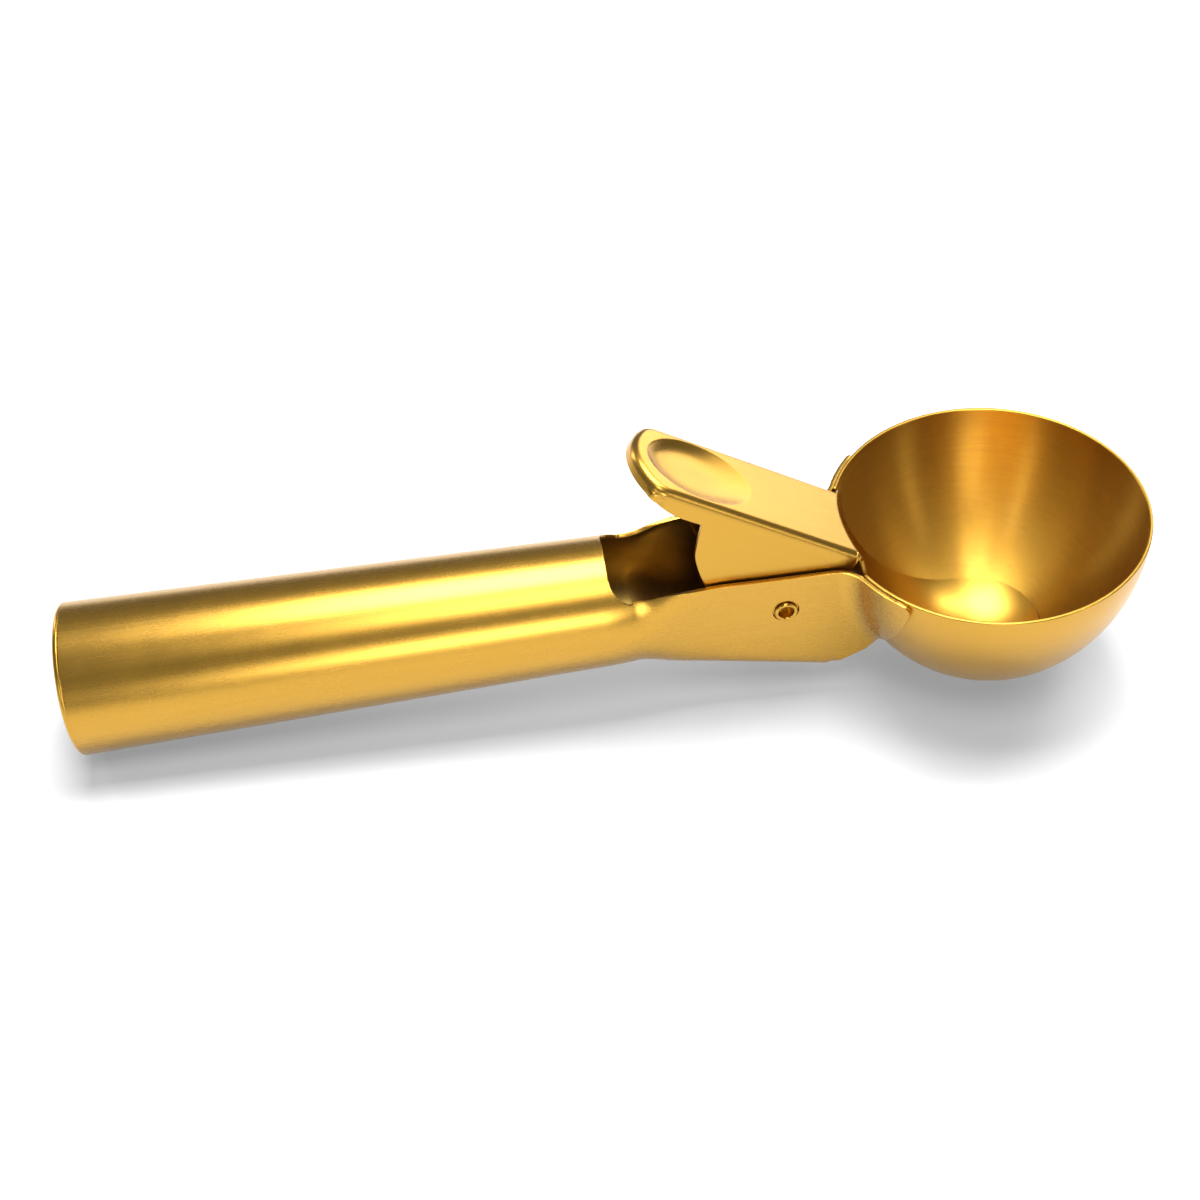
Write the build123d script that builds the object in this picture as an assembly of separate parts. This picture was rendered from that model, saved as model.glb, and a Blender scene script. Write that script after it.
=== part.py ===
from build123d import *
import os
from math import asin, atan2, cos, degrees, hypot, pi, radians, sin, sqrt, tan

# Lever ice cream scoop in pressed steel, in millimetres and degrees.
# X runs forward from the handle to the bowl, Z points up out of the bowl, Y is across, and the part
# is symmetric about Y = 0. While it is modelled, the bowl's axis crosses the rim at X = 0.

# Bowl: a deep spheroidal cup whose rim rises towards the front.
BOWL_RADIUS = 30.0
BOWL_DEPTH = 35.17
BOWL_WALL = 0.7
BOWL_TILT = 4.06
RIM_ROUND = 0.3
NOTCH_DEPTH = 12.0
NOTCH_CORNER = 3.0
NOTCH_GAP = 0.2

# Handle: one sheet, a slightly tapered tube that opens into a fork behind the bowl.
SHEET = 0.8
GRIP_LENGTH = 101.5
GRIP_RADIUS = 14.54
GRIP_TAPER = 0.0203
FORK_LENGTH = 40.5
FORK_BEHIND_BOWL = 2.67
FORK_BELOW_RIM = 9.0
CHEEK_HALF_WIDTH = 10.6
FORK_STEP = 4.5
FORK_SECTIONS = 10
SECTION_POINTS = 40
# Changes along the fork: (amount, distance past the grip where it starts, and where it is complete).
NARROWING = (1.0, 4.0, 24.0)
TOP_RISE = (4.3, 5.0, 28.0)
SQUARING = (6.0, 0.0, 40.0)
FLOOR_DROP = 4.8
FLOOR_DROP_START = 14.0
FLOOR_DROP_POWER = 1.5

# Window in the top of the fork, and the top edge of the cheeks: (distance past the grip, height
# above the handle's axis).
WINDOW_HALF_WIDTH = 9.6
WINDOW_CORNER = 3.8
CHEEK_TOP = [(7.1, 8.0), (10.4, 8.76), (16.3, 9.36), (20.5, 9.5), (28.5, 9.25), (40.5, 8.95)]

# Wrap: the front ends of the cheeks, flared out and laid on the bowl. Its lower and front edges are
# given in side view as (distance behind the bowl, height).
FLARE_RADIUS = 5.0
WRAP_TOP_GAP = 0.2
WRAP_REACH = 52.0
WRAP_DEPTH = 26.0
WRAP_SLICES = 9
WRAP_SEAT = 0.1
WRAP_OUTLINE = [(3.3, 8.4), (-1.2, 10.2), (-7.5, 17.6), (-8.7, 36.0)]
WRAP_CORNER = 2.5

# End cap pressed into the rear of the tube.
CAP_THICKNESS = 1.0
CAP_ROUND = 0.8
CAP_SKIRT = 6.0
CAP_FIT = 0.05

# Pivot: place of its axis, behind the front of the fork and above the handle's axis.
PIVOT_BEHIND_FORK = 8.07
PIVOT_ABOVE_AXIS = 0.9
RIVET_BORE = 1.4
RIVET_WALL = 0.42
RIVET_RECESS = 2.55
RIVET_RECESS_DEPTH = 0.25
RIVET_FIT = 0.05
SLEEVE_WALL = 0.55
SLEEVE_END_GAP = 0.05
PIVOT_FIT = 0.05

# Lever: the thumb plate slopes up and back from its bend above the bowl's rim.
LEVER_HALF_WIDTH = 9.3
PLATE_SLOPE = 29.2
PLATE_LENGTH = 44.8
PLATE_RISE = 3.2
PLATE_END_RADIUS = 12.0
PLATE_CORNER = 4.0
PLATE_EDGE_ROUND = 1.6
DISH_CENTRE = 31.0
DISH_LENGTH = 21.6
DISH_WIDTH = 14.4
DISH_DEPTH = 1.3
DISH_SLOPE = 2.4
# Lower edge of the border round the plate, tip first: (distance from the bend, depth below the top).
BORDER_DEPTH = 3.0
BORDER_EDGE = [(41.4, 3.0), (38.8, 3.7), (35.7, 4.4), (30.0, 4.5)]
# Side view of a flange, rear edge first: (distance behind the pivot, height above it).
FLANGE_EDGE = [
    (17.4, 18.0), (17.5, 14.3), (15.7, 8.2), (11.7, -0.2),
    (5.2, -5.0), (-2.8, -5.6), (-8.3, -0.2), (-11.7, 6.5),
]
NECK_START = 0.3

# Ejector blade: it follows the inside of the bowl from the rim to past the bottom, and narrows
# towards the bend: (distance inside its full half width, height above the rim plane).
BLADE_GAP = 0.33
BLADE_HALF_WIDTH = 12.0
BLADE_NECK = [(2.7, 1.0), (1.6, -1.5), (1.05, -4.5), (1.0, -8.5), (0.4, -12.0), (0.0, -15.0)]

# Torsion spring round the sleeve: its legs press on the floor of the fork and under the plate.
WIRE_RADIUS = 0.55
COIL_GAP = 0.15
COIL_TURNS = 5
COIL_PITCH = 1.3
SPRING_FLOOR_ANGLE = -53.0
SPRING_PLATE_ANGLE = 20.5
SPRING_LEG_GAP = 0.1

# Every cutting tool reaches this far past the part.
REACH = 80.0


def unit(angle):
    """Direction in the X-Z plane, an angle above +X."""
    return (cos(radians(angle)), 0, sin(radians(angle)))


# The bowl stands on Z = 0, so its rim is as high as its tilted depth.
RIM_HEIGHT = hypot(BOWL_RADIUS * sin(radians(BOWL_TILT)), BOWL_DEPTH * cos(radians(BOWL_TILT)))
BOWL = Plane(origin=(0, 0, RIM_HEIGHT), x_dir=unit(BOWL_TILT), z_dir=unit(90 + BOWL_TILT))
BOWL_FRONT = Plane(origin=(0, 0, RIM_HEIGHT), x_dir=(0, 1, 0), z_dir=unit(BOWL_TILT))

# The handle slopes so that its rear end also rests on Z = 0 while its front meets the bowl.
HANDLE_LENGTH = GRIP_LENGTH + FORK_LENGTH
FORK_FRONT = -(BOWL_RADIUS + FORK_BEHIND_BOWL)
RIM_AT_FRONT = RIM_HEIGHT + FORK_FRONT * tan(radians(BOWL_TILT))
AXIS_AT_FRONT = RIM_AT_FRONT - FORK_BELOW_RIM
HANDLE_DIAGONAL = hypot(GRIP_RADIUS, HANDLE_LENGTH)
HANDLE_SLOPE = degrees(asin(AXIS_AT_FRONT / HANDLE_DIAGONAL) - atan2(GRIP_RADIUS, HANDLE_LENGTH))
HANDLE_REAR = (
    FORK_FRONT - HANDLE_LENGTH * cos(radians(HANDLE_SLOPE)),
    0,
    GRIP_RADIUS * cos(radians(HANDLE_SLOPE)),
)
HANDLE_SIDE = Plane(origin=HANDLE_REAR, x_dir=unit(HANDLE_SLOPE), z_dir=(0, -1, 0))
HANDLE_PLAN = Plane(origin=HANDLE_REAR, x_dir=unit(HANDLE_SLOPE), z_dir=unit(90 + HANDLE_SLOPE))

PIVOT = HANDLE_SIDE.from_local_coords((HANDLE_LENGTH - PIVOT_BEHIND_FORK, PIVOT_ABOVE_AXIS, 0))
CHEEK_INSIDE = CHEEK_HALF_WIDTH - SHEET
RIVET_SHANK = RIVET_BORE + RIVET_WALL
RIVET_HOLE = RIVET_SHANK + RIVET_FIT
SLEEVE_RADIUS = RIVET_HOLE + SLEEVE_WALL
LEVER_HOLE = SLEEVE_RADIUS + PIVOT_FIT

BLADE_RADIUS = BOWL_RADIUS - BOWL_WALL - BLADE_GAP
BLADE_DEPTH = BOWL_DEPTH - BOWL_WALL - BLADE_GAP
PLATE_BEND = BOWL.from_local_coords((-BLADE_RADIUS, 0, PLATE_RISE))
# Local X runs from the bend to the tip on top of the plate, and local Z is its normal.
PLATE = Plane(origin=PLATE_BEND, x_dir=unit(180 - PLATE_SLOPE), z_dir=unit(90 - PLATE_SLOPE))


def grip_radius(along):
    """Outer radius of the tube at a distance along the handle."""
    return GRIP_RADIUS - GRIP_TAPER * along


def handle_section(along):
    """Plane across the handle, with local X across and local Y up."""
    centre = HANDLE_SIDE.from_local_coords((along, 0, 0))
    return Plane(origin=centre, x_dir=(0, 1, 0), z_dir=unit(HANDLE_SLOPE))


def across(face):
    """Slab of a side-view face, right across the part."""
    return extrude(face, amount=REACH / 2, both=True)


def pin(radius, length):
    """Cylinder along Y, centred on the pivot."""
    return Pos(PIVOT) * Rot(90, 0, 0) * Cylinder(radius, length)


def spheroid_arc(radius, depth):
    """Quarter ellipse from the rim of a spheroid to its bottom."""
    return EllipticalCenterArc((0, 0), radius, depth, start_angle=0, arc_size=-90)


def spheroid(radius, depth):
    """Solid lower half of a spheroid about the bowl's axis."""
    edges = spheroid_arc(radius, depth) + Polyline((radius, 0), (0, 0), (0, -depth))
    return BOWL * revolve(Plane.XZ * make_face(edges), Axis.Z)


def spheroid_shell(radius, depth, wall, rise):
    """Open spheroidal wall about the bowl's axis, carried straight up past the rim plane."""
    inside = radius - wall
    edges = spheroid_arc(radius, depth) + spheroid_arc(inside, depth - wall)
    edges += Line((0, -depth), (0, wall - depth))
    if rise:
        edges += Polyline((radius, 0), (radius, rise), (inside, rise), (inside, 0))
    else:
        edges += Line((radius, 0), (inside, 0))
    return BOWL * revolve(Plane.XZ * make_face(edges), Axis.Z)


def make_bowl():
    """Pressed cup with a notch at the back of its rim, through which the blade swings."""
    half_width = BLADE_HALF_WIDTH + NOTCH_GAP
    notch = Rectangle(2 * half_width, 2 * NOTCH_DEPTH)
    notch = fillet(notch.vertices().group_by(Axis.Y)[0], NOTCH_CORNER)
    cup = spheroid_shell(BOWL_RADIUS, BOWL_DEPTH, BOWL_WALL, 0)
    cup -= extrude(BOWL_FRONT * notch, amount=-REACH)
    rim = cup.faces().sort_by(Axis(BOWL.origin, BOWL.z_dir))[-1]
    return fillet(rim.edges().filter_by(GeomType.CIRCLE), RIM_ROUND)


def eased(change, past_grip):
    """Amount of a change along the fork, with a smooth start and end."""
    amount, start, end = change
    share = min(max((past_grip - start) / (end - start), 0), 1)
    return amount * share**2 * (3 - 2 * share)


def floor_drop(past_grip):
    """Depth of the fork's floor beyond the tube's radius."""
    share = max(past_grip - FLOOR_DROP_START, 0) / (FORK_STEP * FORK_SECTIONS - FLOOR_DROP_START)
    return FLOOR_DROP * share**FLOOR_DROP_POWER


def section(past_grip, inset):
    """Superellipse across the handle: a circle at the tube and a rounded box between the cheeks."""
    radius = grip_radius(GRIP_LENGTH + past_grip)
    rise, drop = eased(TOP_RISE, past_grip), floor_drop(past_grip)
    squareness = 2 + eased(SQUARING, past_grip)
    half_width = radius + eased(NARROWING, past_grip) * (CHEEK_HALF_WIDTH - radius) - inset
    half_height = radius + (rise + drop) / 2 - inset
    points = []
    for step in range(SECTION_POINTS):
        angle = pi / 2 + 2 * pi * step / SECTION_POINTS
        level = abs(cos(angle) / half_width) ** squareness + abs(sin(angle) / half_height) ** squareness
        reach = level ** (-1 / squareness)
        points.append((reach * cos(angle), (rise - drop) / 2 + reach * sin(angle)))
    return handle_section(GRIP_LENGTH + past_grip) * make_face(Spline(*points, periodic=True))


def tube_sections(inset):
    """Sections of the tube, and of the fork, set in from the outer surface by a distance."""
    tube = [section(CAP_THICKNESS - GRIP_LENGTH, inset), section(0, inset)]
    fork = [section(FORK_STEP * number, inset) for number in range(FORK_SECTIONS + 1)]
    return tube, fork


def side_faces(sections):
    """Curved faces of a loft, without its flat ends."""
    return loft(sections).faces().filter_by(GeomType.PLANE, reverse=True)


def end_ring(outside, inside):
    """Flat ring between an outer and an inner section."""
    return Face(outside.faces()[0].outer_wire(), [inside.faces()[0].outer_wire()])


def make_tube_and_fork():
    """Closed sheet of the tube and the fork, before it is cut."""
    tube, fork = tube_sections(0)
    tube_inside, fork_inside = tube_sections(SHEET)
    faces = [face for sections in (tube, fork, tube_inside, fork_inside) for face in side_faces(sections)]
    rings = [end_ring(tube[0], tube_inside[0]), end_ring(fork[-1], fork_inside[-1])]
    return Solid(Shell(faces + rings))


def wrap_edge(circle, line, radius):
    """Edges of a level line that runs along a cheek, flares out and follows a circle on the bowl."""
    flare_y = line + radius
    flare_x = -sqrt((circle + radius) ** 2 - flare_y**2)
    turn = degrees(atan2(flare_y, -flare_x))
    rear = (-(BOWL_RADIUS + 2 * FORK_BEHIND_BOWL + 2 * FLARE_RADIUS), line)
    cheek = Line(rear, (flare_x, line))
    flare = CenterArc((flare_x, flare_y), radius, -90, 90 - turn)
    hug = CenterArc((0, 0), circle, 180 - turn, turn - WRAP_REACH)
    return cheek, flare, hug


def wrap_slice(height):
    """Level slice of one cheek's front end, parallel to the rim plane."""
    bowl = BOWL_RADIUS * sqrt(1 - (height / BOWL_DEPTH) ** 2)
    outside = wrap_edge(bowl + SHEET, CHEEK_HALF_WIDTH, FLARE_RADIUS)
    inside = wrap_edge(bowl - WRAP_SEAT, CHEEK_INSIDE, FLARE_RADIUS + SHEET)
    ends = [Line(outside[0] @ 0, inside[0] @ 0), Line(outside[2] @ 1, inside[2] @ 1)]
    return BOWL * Pos(0, 0, height) * make_face([*outside, *inside, *ends])


def make_wrap():
    """Both front ends of the cheeks, seated on the bowl and trimmed to their side view."""
    step = (WRAP_DEPTH - WRAP_TOP_GAP) / (WRAP_SLICES - 1)
    slices = [wrap_slice(-WRAP_TOP_GAP - step * number) for number in range(WRAP_SLICES)]
    left = loft(slices)
    return left + mirror(left, about=Plane.XZ)


def wrap_trim():
    """Everything below and in front of the wrap's edges, in side view."""
    edge = [(-BOWL_RADIUS - behind, height) for behind, height in WRAP_OUTLINE]
    low = -REACH
    corners = [(edge[0][0], low), *edge, (REACH, edge[-1][1]), (REACH, low)]
    face = make_face(Polyline(*corners, close=True))
    turns = [face.vertices().sort_by_distance((*point, 0))[0] for point in edge[1:3]]
    return across(Plane.XZ * fillet(turns, WRAP_CORNER))


def cheek_top_trim():
    """Everything above the cheeks' top edge, in side view."""
    start = GRIP_LENGTH + NARROWING[1]
    edge = [(start, sqrt(grip_radius(start) ** 2 - WINDOW_HALF_WIDTH**2))]
    edge += [(GRIP_LENGTH + past, height) for past, height in CHEEK_TOP]
    top = Polyline(edge[-1], (edge[-1][0], REACH / 2), (edge[0][0], REACH / 2), edge[0])
    return across(HANDLE_SIDE * make_face(Spline(*edge) + top))


def window_trim():
    """Rounded rear end of the window, in plan view."""
    width = 2 * WINDOW_HALF_WIDTH
    rear = Rectangle(3 * WINDOW_CORNER, width, align=(Align.MIN, Align.CENTER))
    rear = Pos(GRIP_LENGTH, 0) * rear
    rear = fillet(rear.vertices().group_by(Axis.X)[0], WINDOW_CORNER)
    return extrude(HANDLE_PLAN * rear, amount=REACH / 2)


def make_handle():
    """Tube, fork and wrap in one sheet."""
    front = Box(REACH, REACH, REACH, align=(Align.MIN, Align.CENTER, Align.CENTER))
    front = HANDLE_PLAN * Pos(HANDLE_LENGTH, 0, 0) * front
    shell = make_tube_and_fork() - front - window_trim() - cheek_top_trim()
    wrap = (make_wrap() & front) - spheroid(BOWL_RADIUS, BOWL_DEPTH)
    handle = shell + wrap - wrap_trim() - pin(RIVET_HOLE, REACH)
    recess = pin(RIVET_RECESS, REACH) - pin(RIVET_RECESS, 2 * (CHEEK_HALF_WIDTH - RIVET_RECESS_DEPTH))
    return handle - recess


def make_end_cap():
    """Pressed disc over the rear of the tube, with a skirt that fits inside it."""
    skirt = grip_radius(CAP_SKIRT) - SHEET - CAP_FIT
    corners = [
        (0, 0), (0, GRIP_RADIUS), (CAP_THICKNESS, GRIP_RADIUS), (CAP_THICKNESS, skirt), (CAP_SKIRT, skirt),
        (CAP_SKIRT, skirt - SHEET), (CAP_THICKNESS, skirt - SHEET), (CAP_THICKNESS, 0),
    ]
    face = make_face(Polyline(*corners, close=True))
    rim = face.vertices().group_by(Axis.X)[0].sort_by(Axis.Y)[-1]
    profile = HANDLE_SIDE * fillet(rim, CAP_ROUND)
    return revolve(profile, Axis(HANDLE_REAR, unit(HANDLE_SLOPE)))


def make_pivot_rivet():
    """Tubular rivet whose ends are rolled outwards into the cheeks' recesses."""
    seat = CHEEK_HALF_WIDTH - RIVET_RECESS_DEPTH
    roll = seat + RIVET_WALL
    outside = RIVET_SHANK + RIVET_WALL
    low = RIVET_WALL * sqrt(0.5)
    edges = Line((RIVET_BORE, -roll), (RIVET_BORE, roll)) + Line((RIVET_SHANK, -seat), (RIVET_SHANK, seat))
    for end in (1, -1):
        top = (RIVET_SHANK, end * (roll + RIVET_WALL))
        side = (outside, end * roll)
        under = (RIVET_SHANK + low, end * (roll - low))
        edges += ThreePointArc((RIVET_BORE, end * roll), top, side)
        edges += ThreePointArc(side, under, (RIVET_SHANK, end * seat))
    return Pos(PIVOT) * revolve(make_face(edges), Axis.Y)


def make_pivot_sleeve():
    """Spacer tube between the cheeks, on which the lever turns."""
    length = 2 * (CHEEK_INSIDE - SLEEVE_END_GAP)
    return pin(SLEEVE_RADIUS, length) - pin(RIVET_HOLE, length)


def plate_outline(inset):
    """Plan view of the lever, with a rounded tip."""
    half = LEVER_HALF_WIDTH - inset
    tip = PLATE_LENGTH - inset
    radius = PLATE_END_RADIUS - inset
    corner = tip - radius + sqrt(radius**2 - half**2)
    sides = Polyline((corner, half), (-BOWL_RADIUS / 2, half), (-BOWL_RADIUS / 2, -half), (corner, -half))
    outline = make_face(sides + ThreePointArc((corner, -half), (tip, 0), (corner, half)))
    corners = [v for v in outline.vertices() if v.X > 0]
    return fillet(corners, PLATE_CORNER - inset)


def dish(spread, lift):
    """Tapered oval well in the plate, widened by a distance and moved down by another."""
    mouth = Ellipse(DISH_LENGTH / 2 + spread, DISH_WIDTH / 2 + spread)
    floor = Ellipse(DISH_LENGTH / 2 - DISH_SLOPE + spread, DISH_WIDTH / 2 - DISH_SLOPE + spread)
    well = loft([mouth, Pos(0, 0, -DISH_DEPTH) * floor])
    return PLATE * Pos(DISH_CENTRE, 0, lift) * well


def lever_block(inset):
    """Solid under the top of the lever, in front of its tip and behind the bowl's blade."""
    block = PLATE * Pos(0, 0, -inset) * extrude(plate_outline(inset), amount=-REACH / 2)
    block -= BOWL * Cylinder(BLADE_RADIUS - SHEET + inset, 2 * REACH)
    top = block.faces().sort_by(Axis(PLATE_BEND, PLATE.z_dir))[-1]
    block = fillet(top.edges(), PLATE_EDGE_ROUND - inset)
    spread = inset / 2
    return block - dish(spread, -inset)


def lever_side():
    """Side view of the lever: the plate, the border round its tip and the flanges."""
    behind, above = PLATE_LENGTH + DISH_DEPTH, REACH / 2
    tip = [PLATE.from_local_coords((behind, 0, height)) for height in (above, -BORDER_DEPTH)]
    border = [PLATE.from_local_coords((along, 0, -depth)) for along, depth in BORDER_EDGE]
    flange = [PIVOT + Vector(-back, 0, up) for back, up in FLANGE_EDGE]
    neck = [BOWL.from_local_coords((along, 0, NECK_START)) for along in (-BOWL_RADIUS, 0)]
    front = PLATE.from_local_coords((-BOWL_RADIUS, 0, above))
    edges = Polyline(*tip, border[0]) + Spline(*border) + Line(border[-1], flange[0])
    edges += Spline(*flange) + Polyline(flange[-1], *neck, front, tip[0])
    return across(make_face(edges))


def make_blade():
    """Strip that follows the inside of the bowl and ends in a half circle about its axis."""
    strip = Rectangle(REACH, 2 * BLADE_HALF_WIDTH, align=(Align.MAX, Align.CENTER))
    strip += Circle(BLADE_HALF_WIDTH)
    blade = spheroid_shell(BLADE_RADIUS, BLADE_DEPTH, SHEET, BLADE_NECK[0][1])
    blade &= extrude(BOWL * strip, amount=REACH, both=True)
    edge = [(BLADE_HALF_WIDTH - narrowing, height) for narrowing, height in BLADE_NECK]
    top = (edge[0][0], PLATE_RISE)
    side = Polyline(edge[-1], (BOWL_RADIUS, edge[-1][1]), (BOWL_RADIUS, PLATE_RISE), top, edge[0])
    corner = extrude(BOWL_FRONT * make_face(Spline(*edge) + side), amount=-REACH)
    return blade - corner - mirror(corner, about=Plane.XZ)


def make_lever():
    """Thumb plate, flanges and ejector blade in one sheet."""
    shell = (lever_block(0) - lever_block(SHEET)) & lever_side()
    return shell + make_blade() - pin(LEVER_HOLE, REACH)


def leg_length(start, direction, surface, normal):
    """Distance from a point, along a direction, to where the wire almost touches a flat surface."""
    clearance = WIRE_RADIUS + SPRING_LEG_GAP
    return ((start - surface).dot(normal) - clearance) / -direction.dot(normal)


def fork_floor(past_grip):
    """Point on the inside of the fork's floor, past the grip."""
    along = GRIP_LENGTH + past_grip
    return HANDLE_SIDE.from_local_coords((along, SHEET - grip_radius(along) - floor_drop(past_grip), 0))


def make_return_spring():
    """Torsion spring with straight legs, wound round the sleeve."""
    radius = SLEEVE_RADIUS + COIL_GAP + WIRE_RADIUS
    turns = COIL_TURNS + (SPRING_PLATE_ANGLE - SPRING_FLOOR_ANGLE) / 360
    height = turns * COIL_PITCH
    near = PIVOT + Vector(0, height / 2, 0)
    winding = Plane(origin=near, x_dir=unit(SPRING_FLOOR_ANGLE), z_dir=(0, -1, 0))
    coil = winding * Helix(COIL_PITCH, height, radius)
    rear, front = fork_floor(FLOOR_DROP_START), fork_floor(FLOOR_DROP_START + 2 * FORK_STEP)
    up = Vector(0, 1, 0).cross(front - rear).normalized() * -1
    floor_leg = leg_length(coil @ 0, -(coil % 0), rear, up)
    under_plate = PLATE_BEND - PLATE.z_dir * SHEET
    plate_leg = leg_length(coil @ 1, coil % 1, under_plate, -PLATE.z_dir)
    start = Line(coil @ 0 - (coil % 0) * floor_leg, coil @ 0)
    end = Line(coil @ 1, coil @ 1 + (coil % 1) * plate_leg)
    wire = Plane(origin=start @ 0, z_dir=start % 0) * Circle(WIRE_RADIUS)
    return sweep(wire, path=start + coil + end)


PIECES = {
    "handle": make_handle(),
    "end_cap": make_end_cap(),
    "bowl": make_bowl(),
    "pivot_rivet": make_pivot_rivet(),
    "pivot_sleeve": make_pivot_sleeve(),
    "return_spring": make_return_spring(),
    "lever": make_lever(),
}

# The origin is moved to the middle of the bounding box, at the resting plane.
BOXES = [piece.bounding_box() for piece in PIECES.values()]
REAR_END = min(box.min.X for box in BOXES)
FRONT_END = max(box.max.X for box in BOXES)
TO_ORIGIN = Pos(-(REAR_END + FRONT_END) / 2, 0, -min(box.min.Z for box in BOXES))

os.makedirs("parts", exist_ok=True)
for name, piece in PIECES.items():
    export_step(TO_ORIGIN * piece, f"parts/{name}.step")

print("length", FRONT_END - REAR_END)
print("pivot", (TO_ORIGIN * Pos(PIVOT)).position)
print("rear end", (TO_ORIGIN * Pos(HANDLE_REAR)).position, "slope", HANDLE_SLOPE)
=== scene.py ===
"""Lever ice cream scoop in gilt steel, with its studio stage."""

import math

import bmesh
import bpy
import numpy as np
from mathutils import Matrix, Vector


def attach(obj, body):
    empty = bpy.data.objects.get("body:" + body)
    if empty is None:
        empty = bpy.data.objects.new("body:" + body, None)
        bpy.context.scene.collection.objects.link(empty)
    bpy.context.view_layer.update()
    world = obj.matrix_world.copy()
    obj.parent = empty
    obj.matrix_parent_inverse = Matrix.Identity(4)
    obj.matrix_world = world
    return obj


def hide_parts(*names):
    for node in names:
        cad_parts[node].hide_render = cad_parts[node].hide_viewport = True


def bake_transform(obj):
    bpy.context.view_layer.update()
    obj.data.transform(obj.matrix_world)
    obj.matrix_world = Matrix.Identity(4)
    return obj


bl_info = {
    "name": "Lever Ice Cream Scoop",
    "version": (1, 0, 0),
    "blender": (4, 5, 0),
    "location": "3D View > Sidebar > Scoop",
    "description": "Builds a gilt steel ice cream scoop with a thumb lever and ejector blade",
    "category": "Add Mesh",
}

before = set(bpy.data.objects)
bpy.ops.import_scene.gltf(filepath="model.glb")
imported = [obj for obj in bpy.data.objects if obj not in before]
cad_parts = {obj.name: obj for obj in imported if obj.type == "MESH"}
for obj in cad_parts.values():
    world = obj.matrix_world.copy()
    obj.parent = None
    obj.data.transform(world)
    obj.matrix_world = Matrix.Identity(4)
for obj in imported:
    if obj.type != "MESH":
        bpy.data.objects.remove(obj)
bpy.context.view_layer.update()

MM = 0.001

# Places of the parts in the model: the bowl's axis at its rim, the rear end of the handle and the pivot.
RIM_CENTRE = np.array([72.62, 0.0, 35.146]) * MM
BOWL_TILT = math.radians(4.06)
HANDLE_REAR = np.array([-101.744, 0.0, 14.509]) * MM
HANDLE_SLOPE = math.radians(3.7626)
PIVOT = np.array([31.838, 0.0, 24.196]) * MM


def length(name, description, default):
    """Size in metres, shown in the scene's length unit."""
    return bpy.props.FloatProperty(
        name=name, description=description, default=default, min=0.0, precision=5, unit="LENGTH"
    )


def colour(name, description, default):
    """Linear colour."""
    return bpy.props.FloatVectorProperty(
        name=name, description=description, default=default, size=3, min=0.0, max=1.0, subtype="COLOR"
    )


class ScoopSizes(bpy.types.PropertyGroup):
    """Sizes of the scoop's sheets and turned parts."""

    bowl_radius: length("Bowl Radius", "Outer radius of the bowl at its rim", 0.030)
    bowl_depth: length("Bowl Depth", "Outer depth of the bowl below its rim", 0.03517)
    bowl_wall: length("Bowl Wall", "Thickness of the bowl", 0.0007)
    notch_half_width: length("Notch Half Width", "Half the width of the notch for the blade", 0.0122)
    notch_depth: length("Notch Depth", "Depth of the notch below the rim", 0.012)
    sheet: length("Sheet", "Thickness of the handle and of the lever", 0.0008)
    grip_length: length("Grip Length", "Length of the closed tube", 0.1015)
    grip_radius: length("Grip Radius", "Outer radius of the tube at its rear end", 0.01454)
    fork_length: length("Fork Length", "Length of the fork in front of the tube", 0.0405)
    cheek_half_width: length("Cheek Half Width", "Half the outer width across the cheeks", 0.0106)
    window_half_width: length("Window Half Width", "Half the width of the window over the fork", 0.0096)
    flare_radius: length("Flare Radius", "Radius of the bend from a cheek onto the bowl", 0.005)
    lever_half_width: length("Lever Half Width", "Half the width of the thumb plate", 0.0093)
    plate_length: length("Plate Length", "Length of the thumb plate from its bend to its tip", 0.0448)
    plate_round: length("Plate Edge Radius", "Radius along the edge of the thumb plate", 0.0016)
    dish_depth: length("Dish Depth", "Depth of the hollow for the thumb", 0.0013)
    rivet_bore: length("Rivet Bore", "Radius of the hole through the rivet", 0.0014)
    rivet_wall: length("Rivet Wall", "Thickness of the rivet's tube", 0.00042)
    wire_radius: length("Wire Radius", "Radius of the spring's wire", 0.00055)
    coil_radius: length("Coil Radius", "Radius of the spring to the middle of its wire", 0.00312)
    edge_round: length("Edge Radius", "Radius along the cut edges of the handle's sheet", 0.00018)


class ScoopColours(bpy.types.PropertyGroup):
    """Colours of the scoop and of its stage."""

    gilt: colour("Gilt", "Gold finish of the steel", (0.60, 0.335, 0.042))
    gilt_shade: colour("Gilt Shade", "Darker tone in the brush marks of the gold finish", (0.49, 0.255, 0.034))
    # Darker, less saturated gold on the inner faces of the tube and the fork: painted shade inside the hollow handle.
    gilt_inside_painted_shade: colour("Gilt Inside", "Duller gold inside the tube and the fork", (0.42, 0.285, 0.075))
    gilt_spun: colour("Gilt Spun", "Yellower gold inside the bowl", (0.66, 0.395, 0.055))
    steel: colour("Steel", "Plain steel of the spring and the sleeve", (0.55, 0.53, 0.50))
    steel_shade: colour("Steel Shade", "Darker tone in the marks of the plain steel", (0.385, 0.371, 0.35))
    floor: colour("Floor", "Pale floor", (0.90, 0.90, 0.90))


# Shapes -------------------------------------------------------------------------------------------

# Points closer together than this are joined, and corners of a sheet sharper than this are rounded.
JOIN_DISTANCE = 0.001 * MM
SHARP_ANGLE = math.radians(50)


def smooth_step(share):
    """Rise from 0 to 1 with level ends: three times the square less twice the cube."""
    share = np.clip(share, 0.0, 1.0)
    return share * share * (3.0 - 2.0 * share)


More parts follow.
